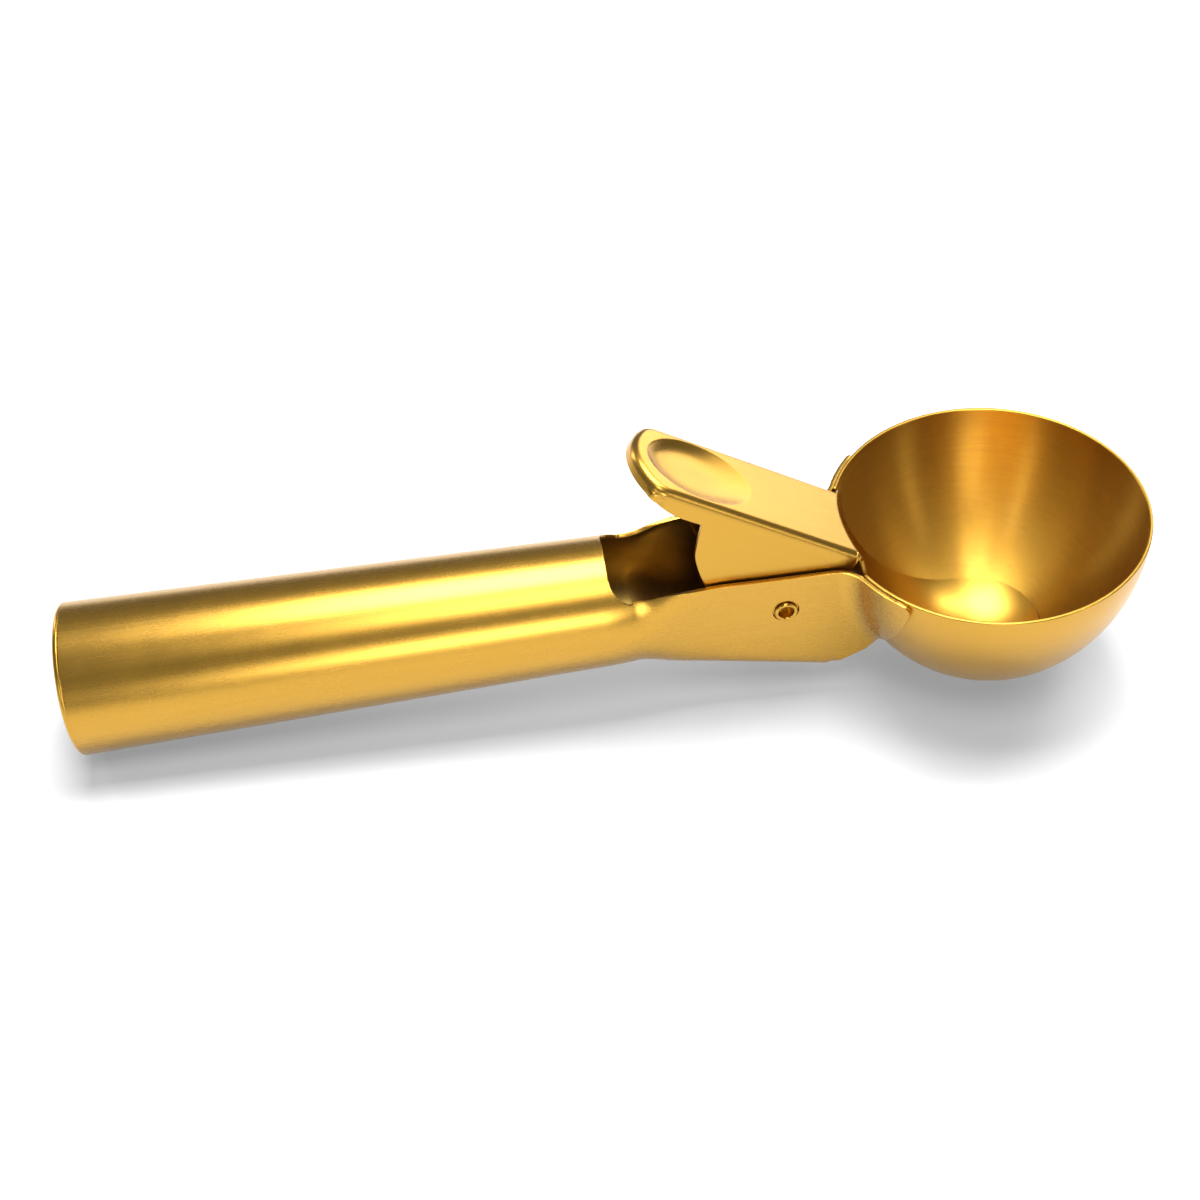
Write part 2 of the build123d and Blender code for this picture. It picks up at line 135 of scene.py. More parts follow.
def through(x, points):
    """Smooth curve through points: cubic pieces whose slope at a point is that between its neighbours."""
    xs, ys = points[:, 0], points[:, 1]
    slope = np.gradient(ys, xs)
    x = np.clip(x, xs[0], xs[-1])
    k = np.clip(np.searchsorted(xs, x) - 1, 0, len(xs) - 2)
    step = xs[k + 1] - xs[k]
    t = (x - xs[k]) / step
    near = (1 + 2 * t) * (1 - t) ** 2 * ys[k] + t * (1 - t) ** 2 * step * slope[k]
    far = t * t * (3 - 2 * t) * ys[k + 1] + t * t * (t - 1) * step * slope[k + 1]
    return near + far


def run_length(path):
    """Length along a path of straight runs, from its first point to each point."""
    return np.concatenate([[0], np.cumsum(np.linalg.norm(np.diff(path, axis=0), axis=1))])


def spaced(path, share):
    """Points on a flat path of straight runs at shares of its length."""
    run = run_length(path)
    return np.stack([np.interp(share * run[-1], run, path[:, k]) for k in (0, 1)], 1)


def along_points(points, count):
    """Points evenly spaced by length on a smooth curve through the given ones."""
    number = np.arange(len(points), dtype=float)
    fine = np.linspace(0, len(points) - 1, 60 * len(points))
    curve = np.stack([through(fine, np.stack([number, points[:, k]], 1)) for k in (0, 1)], 1)
    return spaced(curve, np.linspace(0, 1, count))


def rounded_corner(before, corner, after, radius, count):
    """Arc that replaces a corner: a quadratic curve between two points at a distance from the corner."""
    start = corner + (before - corner) / np.linalg.norm(before - corner) * radius
    end = corner + (after - corner) / np.linalg.norm(after - corner) * radius
    t = np.linspace(0, 1, count)[:, None]
    return (1 - t) ** 2 * start + 2 * t * (1 - t) * corner + t * t * end


def tilted(origin, slope, along, across, up):
    """Points from distances along, across and square to a direction that slopes up from X."""
    x = origin[0] + along * math.cos(slope) - up * math.sin(slope)
    z = origin[2] + along * math.sin(slope) + up * math.cos(slope)
    return np.stack(np.broadcast_arrays(x, across, z), -1)


def untilted(origin, slope, x, z):
    """Distances along and square to a sloping direction, from X and Z: the reverse turn."""
    x, z = x - origin[0], z - origin[2]
    return x * math.cos(slope) + z * math.sin(slope), z * math.cos(slope) - x * math.sin(slope)


def turned(profile, origin, slope, count):
    """Surface of revolution: the profile's distances along and from an axis that slopes up from X."""
    angle = np.linspace(0, 2 * np.pi, count)[:, None]
    along, radius = profile.T
    return tilted(origin, slope, along + 0 * angle, radius * np.sin(angle), radius * np.cos(angle))


def turned_across(profile, origin, count):
    """Surface of revolution about Y: the profile's distances along and from the axis."""
    angle = np.linspace(0, 2 * np.pi, count)[:, None]
    along, radius = profile.T
    x, z = origin[0] + radius * np.cos(angle), origin[2] + radius * np.sin(angle)
    return np.stack(np.broadcast_arrays(x, along, z), -1)


def grid_faces(rows, columns, start=0):
    """Four-cornered faces of a grid whose vertices run row by row."""
    a = start + (np.arange(rows - 1)[:, None] * columns + np.arange(columns - 1)).ravel()
    return np.stack([a, a + 1, a + columns + 1, a + columns], 1)


def add_object(name, data):
    """Object for a mesh, light or camera, placed in the scene."""
    added = bpy.data.objects.new(name, data)
    bpy.context.scene.collection.objects.link(added)
    return added


class Surface:
    """Grids gathered into one mesh, with a map across the surface and a material number for each face."""

    def __init__(self):
        self.points, self.maps, self.faces, self.numbers, self.count = [], [], [], [], 0

    def add(self, grid, u, v, flip=False, number=0):
        """Adds a grid of points with its map coordinates; flip turns its faces over."""
        rows, columns = grid.shape[:2]
        faces = grid_faces(rows, columns, self.count)
        self.points.append(grid.reshape(-1, 3))
        self.maps.append(np.stack(np.broadcast_arrays(u, v, grid[..., 0]), -1).reshape(-1, 3)[:, :2])
        self.faces.append(faces[:, ::-1] if flip else faces)
        self.numbers.append(np.broadcast_to(number, (rows - 1, columns - 1)).ravel())
        self.count += rows * columns

    def piece(self, name, materials):
        """Puts the grids into a mesh object, joins their edges and shades it smooth. The object sends no
        light on to matt surfaces, so the gold leaves no tint on the floor."""
        points, faces = np.concatenate(self.points), np.concatenate(self.faces)
        mesh = bpy.data.meshes.new(name)
        mesh.vertices.add(len(points))
        mesh.vertices.foreach_set("co", points.astype(np.float32).ravel())
        mesh.loops.add(faces.size)
        mesh.loops.foreach_set("vertex_index", faces.astype(np.int32).ravel())
        mesh.polygons.add(len(faces))
        mesh.polygons.foreach_set("loop_start", np.arange(0, faces.size, 4, dtype=np.int32))
        mesh.polygons.foreach_set("material_index", np.concatenate(self.numbers).astype(np.int32))
        mesh.update(calc_edges=True)
        layer = mesh.uv_layers.new(name="surface")
        layer.data.foreach_set("uv", np.concatenate(self.maps)[faces.ravel()].astype(np.float32).ravel())
        for material in materials:
            mesh.materials.append(material)
        shape = bmesh.new()
        shape.from_mesh(mesh)
        bmesh.ops.remove_doubles(shape, verts=shape.verts, dist=JOIN_DISTANCE)
        shape.to_mesh(mesh)
        shape.free()
        mesh.shade_smooth()
        piece = add_object(name, mesh)
        piece.visible_diffuse = False
        return piece


def give_wall(piece, thickness, edge, inside=0):
    """Thickens a sheet inwards and rounds its cut edges. inside is the material number of its inner face,
    counted from that of the outer one."""
    wall = piece.modifiers.new("Wall", "SOLIDIFY")
    wall.thickness = thickness
    wall.offset = -1
    wall.use_even_offset = True
    wall.use_quality_normals = True
    wall.material_offset = inside
    rounding = piece.modifiers.new("Edges", "BEVEL")
    rounding.width = edge
    rounding.segments = 2
    rounding.limit_method = "ANGLE"
    rounding.angle_limit = SHARP_ANGLE


# Handle -------------------------------------------------------------------------------------------

GRIP_TAPER = 0.0203
# Changes along the fork in millimetres: start past the grip, length until complete, and amount.
NARROWING = (-2.0, 22.0, 1.0)
TOP_RISE = (5.0, 23.0, 4.3)
SQUARING = (4.0, 36.0, 12.0)
# The fork's floor drops with a power of the distance: start, length, drop over that length, and power.
FLOOR_DROP = (14.0, 31.0, 6.2, 1.55)
# Angle below level round the section at which a cheek meets the fork's floor.
FLOOR_ANGLE = math.radians(60.1)
# Radius of the window's rear corners, and how far past the grip its rows of points lie close together.
WINDOW_CORNER = 3.8
WINDOW_ROWS = 4.2
# Top edge of the cheeks in millimetres: distance past the grip, and height above the handle's axis.
CHEEK_TOP = np.array([(4.0, 7.85), (7.1, 8.0), (10.4, 8.76), (16.3, 9.36), (20.5, 9.5), (28.5, 9.25), (40.5, 8.95)])
# Lower and upper front corner of the wrap in side view, measured from the bowl's rim centre and the floor.
WRAP_FRONT = np.array([(-22.9, 12.2), (-20.9, 34.9)])
WRAP_CORNERS = (2.2 * MM, 2.3 * MM)
# Height of the wrap's top edge against the rim, and the length over which the cheek's edge comes down to it.
WRAP_RIM = -0.3 * MM
WRAP_FALL = 4.0 * MM
# Mean radius that turns an angle round the handle into a distance on its map.
MAP_RADIUS = 0.0125
# Stretch of the map over the side of the wrap, and along it.
WRAP_MAP = ((0.0, 0.02), (0.142, 0.156))
# Hole in a cheek for the rivet's head: its radius, and the reach of the faces that are cut away for it.
HEAD_HOLE = 2.55 * MM
HEAD_CUT = 2.4 * MM
CAP_THICKNESS = 1.0 * MM
CAP_ROUND = 0.8 * MM
CAP_SKIRT = 6.0 * MM
CAP_FIT = 0.05 * MM


def change(past, start, reach, amount):
    """Smooth change of a given amount, from a start past the grip over a reach, in millimetres."""
    return amount * smooth_step((past / MM - start) / reach)


def handle_section(size, past):
    """Half width, half height, middle height and squareness of the handle past the grip, in metres."""
    radius = size.grip_radius - GRIP_TAPER * (size.grip_length + past)
    half_width = radius + change(past, *NARROWING) * (size.cheek_half_width - radius)
    rise = change(past, *TOP_RISE) * MM
    start, reach, amount, power = FLOOR_DROP
    drop = amount * MM * (np.maximum(past / MM - start, 0) / reach) ** power
    square = 2 + change(past, *SQUARING)
    return half_width, radius + (rise + drop) / 2, (rise - drop) / 2, square


def section_point(section, angle):
    """Superellipse: a point is as far along its angle as makes the powers of its shares add up to one."""
    half_width, half_height, middle, square = section
    level = np.abs(np.cos(angle) / half_width) ** square + np.abs(np.sin(angle) / half_height) ** square
    reach = level ** (-1 / square)
    return reach * np.cos(angle), middle + reach * np.sin(angle)


def handle_skin(size, past, angle):
    """Points of the handle past the grip at angles round its sections, and their map coordinates."""
    y, up = section_point([value[:, None] for value in handle_section(size, past)], angle)
    along = size.grip_length + past[:, None]
    return tilted(HANDLE_REAR, HANDLE_SLOPE, along + 0 * y, y, up), angle * MAP_RADIUS, along


def window_angle(size, past):
    """Angle on the section where the window's edge lies, found by halving: the edge follows a width with
    rounded corners up to the cheeks, then the height of their top edge."""
    section, mm = handle_section(size, past), past / MM
    back = np.maximum(WINDOW_CORNER - mm, 0)
    width = size.window_half_width - (WINDOW_CORNER - np.sqrt(WINDOW_CORNER**2 - back**2)) * MM
    top = through(mm, CHEEK_TOP) * MM
    low, high = np.zeros_like(past), np.full_like(past, np.pi / 2)
    for _ in range(40):
        middle = (low + high) / 2
        y, up = section_point(section, middle)
        outside = np.where(mm < CHEEK_TOP[0, 0], y > width, up < top)
        low, high = np.where(outside, middle, low), np.where(outside, high, middle)
    return (low + high) / 2


def wrap_width(size, along, up):
    """Distance from the middle: level with the cheek, then an arc outwards, then the circle round the bowl."""
    share = np.clip(up / size.bowl_depth, -0.98, 0)
    circle = size.bowl_radius * np.sqrt(1 - share**2) + size.sheet
    bend, line = size.flare_radius, size.cheek_half_width
    start = -np.sqrt((circle + bend) ** 2 - (line + bend) ** 2)
    join = start * circle / (circle + bend)
    arc = line + bend - np.sqrt(np.maximum(bend**2 - np.clip(along - start, 0, bend) ** 2, 0))
    hug = np.sqrt(np.maximum(circle**2 - along**2, 0))
    return np.where(along < start, line, np.where(along < join, arc, hug))


def handle_wrap(size, side_points, columns):
    """Front end of a cheek: straight lines in side view between its lower edge and the rim, moved out to
    the cheek, the flare and the bowl. side_points are the last section's, from its top edge down."""
    t = 1 - (1 - np.linspace(0, 1, columns)) ** 1.2
    low_front, high_front = WRAP_FRONT * MM + np.array([RIM_CENTRE[0], 0])
    top, bottom = side_points[0][[0, 2]], side_points[-1][[0, 2]]
    x = np.linspace(top[0], high_front[0], 20)
    rim = tilted(RIM_CENTRE, BOWL_TILT, x - RIM_CENTRE[0], 0.0, WRAP_RIM)[:, 2]
    line = np.stack([x, rim + (top[1] - rim[0]) * (1 - smooth_step((x - x[0]) / WRAP_FALL))], 1)
    low_corner = rounded_corner(bottom, low_front, high_front, WRAP_CORNERS[0], 12)
    high_corner = rounded_corner(line[0], line[-1], low_front, WRAP_CORNERS[1], 12)
    before = line[:, 0] < high_corner[0, 0] - 0.1 * MM
    high = spaced(np.concatenate([line[before], high_corner]), t)
    low = spaced(np.concatenate([[bottom], low_corner]), t)
    share = np.linalg.norm((side_points - side_points[0])[:, [0, 2]], axis=1)
    share = (share / share[-1])[None, :, None]
    flat = high[:, None] * (1 - share) + low[:, None] * share
    along, up = untilted(RIM_CENTRE, BOWL_TILT, flat[..., 0], flat[..., 1])
    blend = smooth_step(t[:, None] / 0.3)
    width = np.abs(side_points[:, 1])[None] * (1 - blend) + wrap_width(size, along, up) * blend
    return np.stack([flat[..., 0], width, flat[..., 1]], -1)


def round_hole(piece, centre, radius, reach):
    """Opens a round hole through the cheeks: faces inside it go, and the edge left is moved onto a circle."""
    shape = bmesh.new()
    shape.from_mesh(piece.data)
    centre = Vector((centre[0], centre[2]))

    def place(point):
        return Vector((point.x, point.z)) - centre

    inner = [face for face in shape.faces if place(face.calc_center_median()).length < reach]
    bmesh.ops.delete(shape, geom=inner, context="FACES")
    for vertex in shape.verts:
        offset = place(vertex.co)
        if vertex.is_boundary and offset.length < 1.3 * radius:
            offset = offset.normalized() * radius
            vertex.co.x, vertex.co.z = centre.x + offset.x, centre.y + offset.y
    shape.to_mesh(piece.data)
    shape.free()


def build_handle(size, materials):
    """Tube, fork and wrap. Sections are circles in the tube and turn into rounded boxes in the fork."""
    side, floor, roof, wrap_rows = 64, 36, 26, 44
    fork = np.concatenate([np.linspace(0, WINDOW_ROWS, 22), np.linspace(WINDOW_ROWS, size.fork_length / MM, 105)[1:]])
    fork *= MM
    start = window_angle(size, fork)[:, None]
    t = np.linspace(0, 1, side)[None]
    left = np.pi - start + t * (FLOOR_ANGLE + start)
    under = np.linspace(np.pi + FLOOR_ANGLE, 2 * np.pi - FLOOR_ANGLE, floor)[None, 1:-1] + 0 * start
    angle = np.concatenate([left, under, 3 * np.pi - left[:, ::-1]], 1)
    skin = Surface()
    grid, u, v = handle_skin(size, fork, angle)
    skin.add(grid, u, v)
    # The tube's rows are even at the rear and closer and closer together towards the window.
    over = np.linspace(3 * np.pi - left[0, 0], 2 * np.pi + left[0, 0], roof)[1:]
    near = -np.append(np.geomspace(0.2, 40, 22)[::-1], 0) * MM
    rear = CAP_THICKNESS - size.grip_length
    far = np.linspace(rear, near[0], 46)[1:-1]
    tube = np.concatenate([[rear, rear + 0.3 * MM], far, near])
    skin.add(*handle_skin(size, tube, np.concatenate([angle[0], over])[None]))
    wrap = handle_wrap(size, grid[-1, :side], wrap_rows)
    u, v = np.linspace(*WRAP_MAP[0], side)[None], np.linspace(*WRAP_MAP[1], wrap_rows)[:, None]
    skin.add(wrap, u, v, flip=True)
    skin.add(wrap * np.array([1, -1, 1]), u, v)
    piece = skin.piece("handle_sheet", materials)
    round_hole(piece, PIVOT, HEAD_HOLE, HEAD_CUT)
    give_wall(piece, size.sheet, size.edge_round, inside=1)
    return piece


def build_end_cap(size, materials):
    """Turned disc with a rounded edge and a skirt inside the tube."""
    radius, fine = size.grip_radius, 0.02 * MM
    skirt = radius - GRIP_TAPER * CAP_SKIRT - size.sheet - CAP_FIT
    angle = np.linspace(0, np.pi / 2, 10)
    edge = np.stack([CAP_ROUND * (1 - np.cos(angle)), radius - CAP_ROUND * (1 - np.sin(angle))], 1)
    disc = np.stack([np.zeros(14), np.linspace(0, radius - CAP_ROUND - 0.05 * MM, 14)], 1)
    rest = [
        (CAP_THICKNESS - fine, radius), (CAP_THICKNESS, radius - fine), (CAP_THICKNESS, skirt), (CAP_SKIRT, skirt),
        (CAP_SKIRT, skirt - size.sheet), (CAP_THICKNESS, skirt - size.sheet), (CAP_THICKNESS, 0.0),
    ]
    profile = np.concatenate([disc, edge, rest])
    skin = Surface()
    grid = turned(profile, HANDLE_REAR, HANDLE_SLOPE, 129)
    skin.add(grid, np.linspace(0, 0.09, 129)[:, None], run_length(profile)[None])
    return skin.piece("end_disc", materials)


# Bowl ---------------------------------------------------------------------------------------------

NOTCH_CORNER = 3.0 * MM
RIM_ROUND = 0.22 * MM


def bowl_points(size, height, azimuth):
    """Spheroid: the radius at a depth is that of an ellipse. Azimuth 0 points to the handle."""
    radius = size.bowl_radius * np.sqrt(np.maximum(1 - (height / size.bowl_depth) ** 2, 0))
    return tilted(RIM_CENTRE, BOWL_TILT, -radius * np.cos(azimuth), radius * np.sin(azimuth), -height)


def build_bowl(size, materials):
    """Spheroid with a notch at the back: columns beside it follow its upright edge and rounded corner."""
    top = np.concatenate([[0, 0.3 * MM], np.linspace(0.8 * MM, size.notch_depth, 34)])
    rounding = np.maximum(top - (size.notch_depth - NOTCH_CORNER), 0)
    edge = size.notch_half_width - NOTCH_CORNER + np.sqrt(np.maximum(NOTCH_CORNER**2 - rounding**2, 0))
    radius = size.bowl_radius * np.sqrt(1 - (top / size.bowl_depth) ** 2)
    start = np.arcsin(edge / radius)[:, None]
    azimuth = start + np.linspace(0, 1, 176)[None] * (2 * np.pi - 2 * start)
    skin = Surface()
    skin.add(bowl_points(size, top[:, None], azimuth), top[:, None], azimuth * size.bowl_radius)
    # Below the notch the columns go all the way round, and the rows close at the bottom.
    fall = np.arcsin(size.notch_depth / size.bowl_depth)
    angle = np.concatenate([np.linspace(fall, np.pi / 2, 64)[:-1], [np.pi / 2 - 0.004, np.pi / 2]])
    height = size.bowl_depth * np.sin(angle)[:, None]
    inner = np.linspace(-start[-1, 0], start[-1, 0], 20)
    around = np.concatenate([azimuth[-1], inner[1:] + 2 * np.pi])[None]
    skin.add(bowl_points(size, height, around), size.bowl_depth * angle[:, None], around * size.bowl_radius)
    piece = skin.piece("bowl_cup", materials)
    give_wall(piece, size.bowl_wall, RIM_ROUND, inside=1)
    return piece


# Lever --------------------------------------------------------------------------------------------

# Slope of the thumb plate against the bowl's rim plane, and place of its bend on that plane.
PLATE_SLOPE = math.radians(29.2) + BOWL_TILT
PLATE_BEND = np.array([-28.97, 3.2]) * MM
# Distances up the plate's side from its bend, in millimetres: the end of the rows packed at the bend, the
# end of the flange, and where the border has its own depth.
BEND_RUN, FLANGE_RUN, BORDER_RUN = 1.2, 28.6, 30.0
# Flange edge in side view, from its front corner round to the rear one, relative to the pivot.
FLANGE_EDGE = np.array(
    [(11.7, 6.5), (8.3, -0.2), (2.8, -5.6), (-5.2, -5.0), (-11.7, -0.2), (-15.7, 8.2), (-17.5, 14.3), (-17.4, 18.0)]
)
# Depth of the border round the thumb plate: distance from the bend, and depth.
BORDER_EDGE = np.array([(BORDER_RUN, 4.5), (35.7, 4.4), (38.8, 3.7), (41.4, 3.0)])
# Radii of the arc over the plate's tip and of the arcs at its corners.
TIP_RADIUS, CORNER_RADIUS = 12.0 * MM, 4.0 * MM
# The plate's rows end on its centre line no further from the bend than this.
CENTRE_RUN = 38.0 * MM
# Length over which the plate's rows fade from the curve of the bend to straight ones.
BEND_FADE = 10.0 * MM
# Hollow for the thumb: distance of its middle from the bend, half its length and half its width.
DISH_MIDDLE, DISH_LENGTH, DISH_WIDTH = 31.2 * MM, 10.9 * MM, 7.6 * MM
# Power of the hollow's depth at the tip, how much lower it is towards the bowl, and where it changes.
DISH_POWER, DISH_EASE, DISH_CHANGE = 6.0, 3.6, (37.0 * MM, 14.0 * MM)
# Pinch in the border beside the hollow: distance from the bend, half its length, and its depth.
PINCH_RUN, PINCH_REACH, PINCH_DEPTH = 40.6 * MM, 1.3 * MM, 0.35 * MM
LEVER_ROUND = 0.15 * MM
# Half width of the blade: height above the rim plane, and half width.
BLADE_EDGE = np.array([(-15.0, 12.0), (-12.0, 11.6), (-8.5, 11.0), (-4.5, 10.95), (-1.5, 10.4), (1.0, 9.3)])
BLADE_GAP = 0.33 * MM
BLADE_STRIP = 0.05 * MM


def plate_place(u, depth):
    """Distances along and above the rim plane, from the distance up the plate and the depth below its top."""
    along = PLATE_BEND[0] - u * math.cos(PLATE_SLOPE) - depth * math.sin(PLATE_SLOPE)
    up = PLATE_BEND[1] + u * math.sin(PLATE_SLOPE) - depth * math.cos(PLATE_SLOPE)
    return along, up


def blade_radius(size):
    """Radius of the blade's inner face at the rim: the bowl's less its wall, a gap and the sheet."""
    return size.bowl_radius - size.bowl_wall - BLADE_GAP - size.sheet


def bend_tangent(size):
    """Distance from the bend's sharp corner to either end of its arc."""
    return size.plate_round / math.tan((np.pi / 2 + PLATE_SLOPE) / 2)


def bend_start(size, cross):
    """Distance up the plate where the bend starts, which follows a circle round the bowl's axis."""
    reach = np.sqrt(blade_radius(size) ** 2 - cross**2)
    return (PLATE_BEND[0] + reach) / math.cos(PLATE_SLOPE) + bend_tangent(size)


def plate_edge(size, run):
    """Plan of half the thumb plate: a straight side, an arc round the corner and a wide arc over the tip."""
    half, wide, small = size.lever_half_width, TIP_RADIUS, CORNER_RADIUS
    centre = size.plate_length - wide
    turn = math.asin((half - small) / (wide - small))
    middle = centre + (wide - small) * math.cos(turn)
    first = (run - middle) / small
    second = (run - middle - small * (np.pi / 2 - turn)) / wide
    on_side, on_tip = run < middle, second > 0
    beta = np.where(on_tip, turn - second, np.pi / 2 - np.clip(first, 0, None))
    u = np.where(on_side, run, np.where(on_tip, centre + wide * np.cos(beta), middle + small * np.cos(beta)))
    y = np.where(on_side, half, np.where(on_tip, wide * np.sin(beta), half - small + small * np.sin(beta)))
    beta = np.where(on_side, np.pi / 2, beta)
    total = middle + small * (np.pi / 2 - turn) + wide * turn
    return u, y, beta, total


def dish(size, u, y):
    """Oval hollow: its depth is one less a power of the distance from the middle, a high power at the tip
    and the sides for a steep wall, a low one towards the bowl for a long rise."""
    oval = np.hypot((u - DISH_MIDDLE) / DISH_LENGTH, y / DISH_WIDTH)
    start, reach = DISH_CHANGE
    power = DISH_POWER - DISH_EASE * smooth_step((start - u) / reach)
    return size.dish_depth * np.maximum(1 - oval**power, 0)


def lower_edge(run, u):
    """Lower edge of the wall: the flange's outline below the straight side, then the border's edge."""
    end, start = FLANGE_RUN * MM, BORDER_RUN * MM
    count = int((run < end + 1e-9).sum())
    flange = along_points(FLANGE_EDGE, count) * MM + PIVOT[[0, 2]]
    flange = np.stack(untilted(RIM_CENTRE, BOWL_TILT, flange[:, 0], flange[:, 1]), 1)
    reach, depth = BORDER_EDGE[-1] * MM
    depth = np.where(run > reach, depth, through(u / MM, BORDER_EDGE) * MM)
    lower = np.stack(plate_place(u, depth), 1)
    lower[:count] = flange
    join = (run > end) & (run < start)
    share = ((run[join] - end) / (start - end))[:, None]
    lower[join] = flange[-1] * (1 - share) + np.array(plate_place(*BORDER_EDGE[0] * MM)) * share
    return lower[:, 0], lower[:, 1]


def lever_plate(size, wall, rounding, flat):
    """Half of the thumb plate and its flange. A row runs from the lower edge up the wall, over the rounded
    edge and across to the centre line; rows follow the plate's edge from the bend round to the tip."""
    total = plate_edge(size, np.array([0.0]))[3] / MM
    stretches = ((0, BEND_RUN, 12), (BEND_RUN, FLANGE_RUN, 70), (FLANGE_RUN, BORDER_RUN, 8), (BORDER_RUN, total, 84))
    run = np.concatenate([[0], *(np.linspace(*stretch)[1:] for stretch in stretches)]) * MM
    u, y, beta, _ = plate_edge(size, run)
    out_u, out_y = np.cos(beta)[:, None], np.sin(beta)[:, None]
    r = size.plate_round
    edge_u, edge_y = u[:, None] - r * out_u, y[:, None] - r * out_y
    s = np.linspace(0, 1, flat)[None, 1:]
    flat_u = edge_u * (1 - s) + np.minimum(run, CENTRE_RUN)[:, None] * s
    flat_y = edge_y * (1 - s)
    a = np.linspace(0, np.pi / 2, rounding)[None]
    round_depth = r - r * np.sin(a) + 0 * edge_u
    plan_u = np.concatenate([edge_u + r * np.cos(a) * out_u, flat_u], 1)
    plan_y = np.concatenate([edge_y + r * np.cos(a) * out_y, flat_y], 1)
    depth = np.concatenate([round_depth, dish(size, flat_u, flat_y)], 1)
    fade = np.clip(1 - run / BEND_FADE, 0, 1)[:, None]
    along, up = plate_place(plan_u + fade * bend_start(size, plan_y), depth)
    low_along, low_up = lower_edge(run, u)
    t = np.linspace(0, 1, wall)[None, :-1]
    pinch = (run[:, None] - PINCH_RUN) / PINCH_REACH
    pinch = PINCH_DEPTH * pinch * np.exp(1 - pinch**2) * np.sin(np.pi * (0.15 + 0.85 * t)) ** 0.7
    wall_along = low_along[:, None] * (1 - t) + along[:, :1] * t - pinch * out_u * math.cos(PLATE_SLOPE)
    wall_up = low_up[:, None] * (1 - t) + up[:, :1] * t + pinch * out_u * math.sin(PLATE_SLOPE)
    wall_y = y[:, None] + pinch * out_y
    return [np.concatenate(pair, 1) for pair in ((wall_along, along), (wall_y, plan_y), (wall_up, up))]


def lever_blade(size, wall, rounding, flat):
    """Half of the blade and the bend above it, from the end under the bowl's middle up to the plate.
    Rows run from the blade's edge to its centre line on a spheroid, a cylinder and the bend's arc."""
    radius, half_plate = blade_radius(size), size.lever_half_width
    depth = radius + size.bowl_depth - size.bowl_radius
    r = size.plate_round
    share = np.concatenate([np.linspace(0, BLADE_STRIP, wall)[:-1], np.linspace(BLADE_STRIP, r, rounding)])[None]
    rest = np.linspace(0, 1, flat)[None, 1:]

    def strip(half):
        """Distances from the centre line across a strip of a half width, edge first."""
        outer = half[:, None] - share
        return np.concatenate([outer, outer[:, -1:] * (1 - rest)], 1)

    def face(y):
        """Place along the rim plane of the blade's face, a circle round the bowl's axis."""
        return -np.sqrt(radius**2 - y**2)

    def top(y):
        """Height at which the face ends and the bend's arc starts."""
        return PLATE_BEND[1] + (PLATE_BEND[0] - face(y)) * math.tan(PLATE_SLOPE) - bend_tangent(size)

    # Round end of the blade.
    fan = np.linspace(0, np.pi / 2, 40)[:-1]
    rho = strip(np.full(len(fan), BLADE_EDGE[0, 1] * MM))
    rows = [(rho * np.cos(fan)[:, None], rho * np.sin(fan)[:, None], -depth * np.sqrt(1 - (rho / radius) ** 2))]
    # Up the inside of the bowl.
    psi = np.linspace(np.pi / 2, 0, 90)
    y = strip(through(-depth * np.sin(psi) / MM, BLADE_EDGE) * MM)
    level = np.sqrt(1 - (y / radius) ** 2)
    rows.append((-radius * level * np.cos(psi)[:, None], y, -depth * level * np.sin(psi)[:, None]))
    # Above the rim, then over the bend.
    rise = np.linspace(0, 1, 7)[1:]
    y = strip(through(rise * top(half_plate) / MM, BLADE_EDGE) * MM)
    rows.append((face(y), y, rise[:, None] * top(y)))
    turn = np.linspace(0, np.pi / 2 - PLATE_SLOPE, 10)[1:-1][:, None]
    y = strip(np.full(len(turn), half_plate))
    rows.append((face(y) - r + r * np.cos(turn), y, top(y) + r * np.sin(turn)))
    return [np.concatenate(part) for part in zip(*rows)]


def build_lever(size, materials):
    """Thumb plate, flanges and blade from one half and its mirror image."""
    wall, rounding, flat = 16, 8, 26
    blade = lever_blade(size, wall, rounding, flat)
    plate = lever_plate(size, wall, rounding, flat)
    half = tilted(RIM_CENTRE, BOWL_TILT, *(np.concatenate(pair) for pair in zip(blade, plate)))
    rows = len(blade[0])
    number = np.zeros((half.shape[0] - 1, half.shape[1] - 1), int)
    number[rows:, : wall - 1] = 1
    number[: rows - 3] = 1
    v = run_length(half[:, -1])[:, None]
    across = half[..., 1]
    skin = Surface()
    skin.add(half, across, v, flip=True, number=number)
    skin.add(half * np.array([1, -1, 1]), -across, v, number=number)
    piece = skin.piece("thumb_lever", materials)
    give_wall(piece, size.sheet, LEVER_ROUND)
    return piece


# Pivot and spring ---------------------------------------------------------------------------------

# The rivet's heads sit in recesses in the cheeks: their depth, the thickness of the washer that closes
# each one, and its inner and outer radius.
HEAD_SUNK = 0.25 * MM
SEAT_DEPTH = 0.4 * MM
SEAT_RADII = (1.87 * MM, 2.58 * MM)
# Angle at which a head's rolled end stops.
ROLL_END = -0.75 * np.pi
# Widths of the maps round the rivet and round the spring's wire.
RIVET_MAP, WIRE_MAP = 0.014, 0.0035
SPRING_PITCH = 1.3 * MM
SPRING_START = math.radians(-53.0)
SPRING_TURNS = 5 + 73.5 / 360
# Lengths of the legs to the fork's floor and to the plate.
SPRING_LEGS = (17.19 * MM, 19.23 * MM)


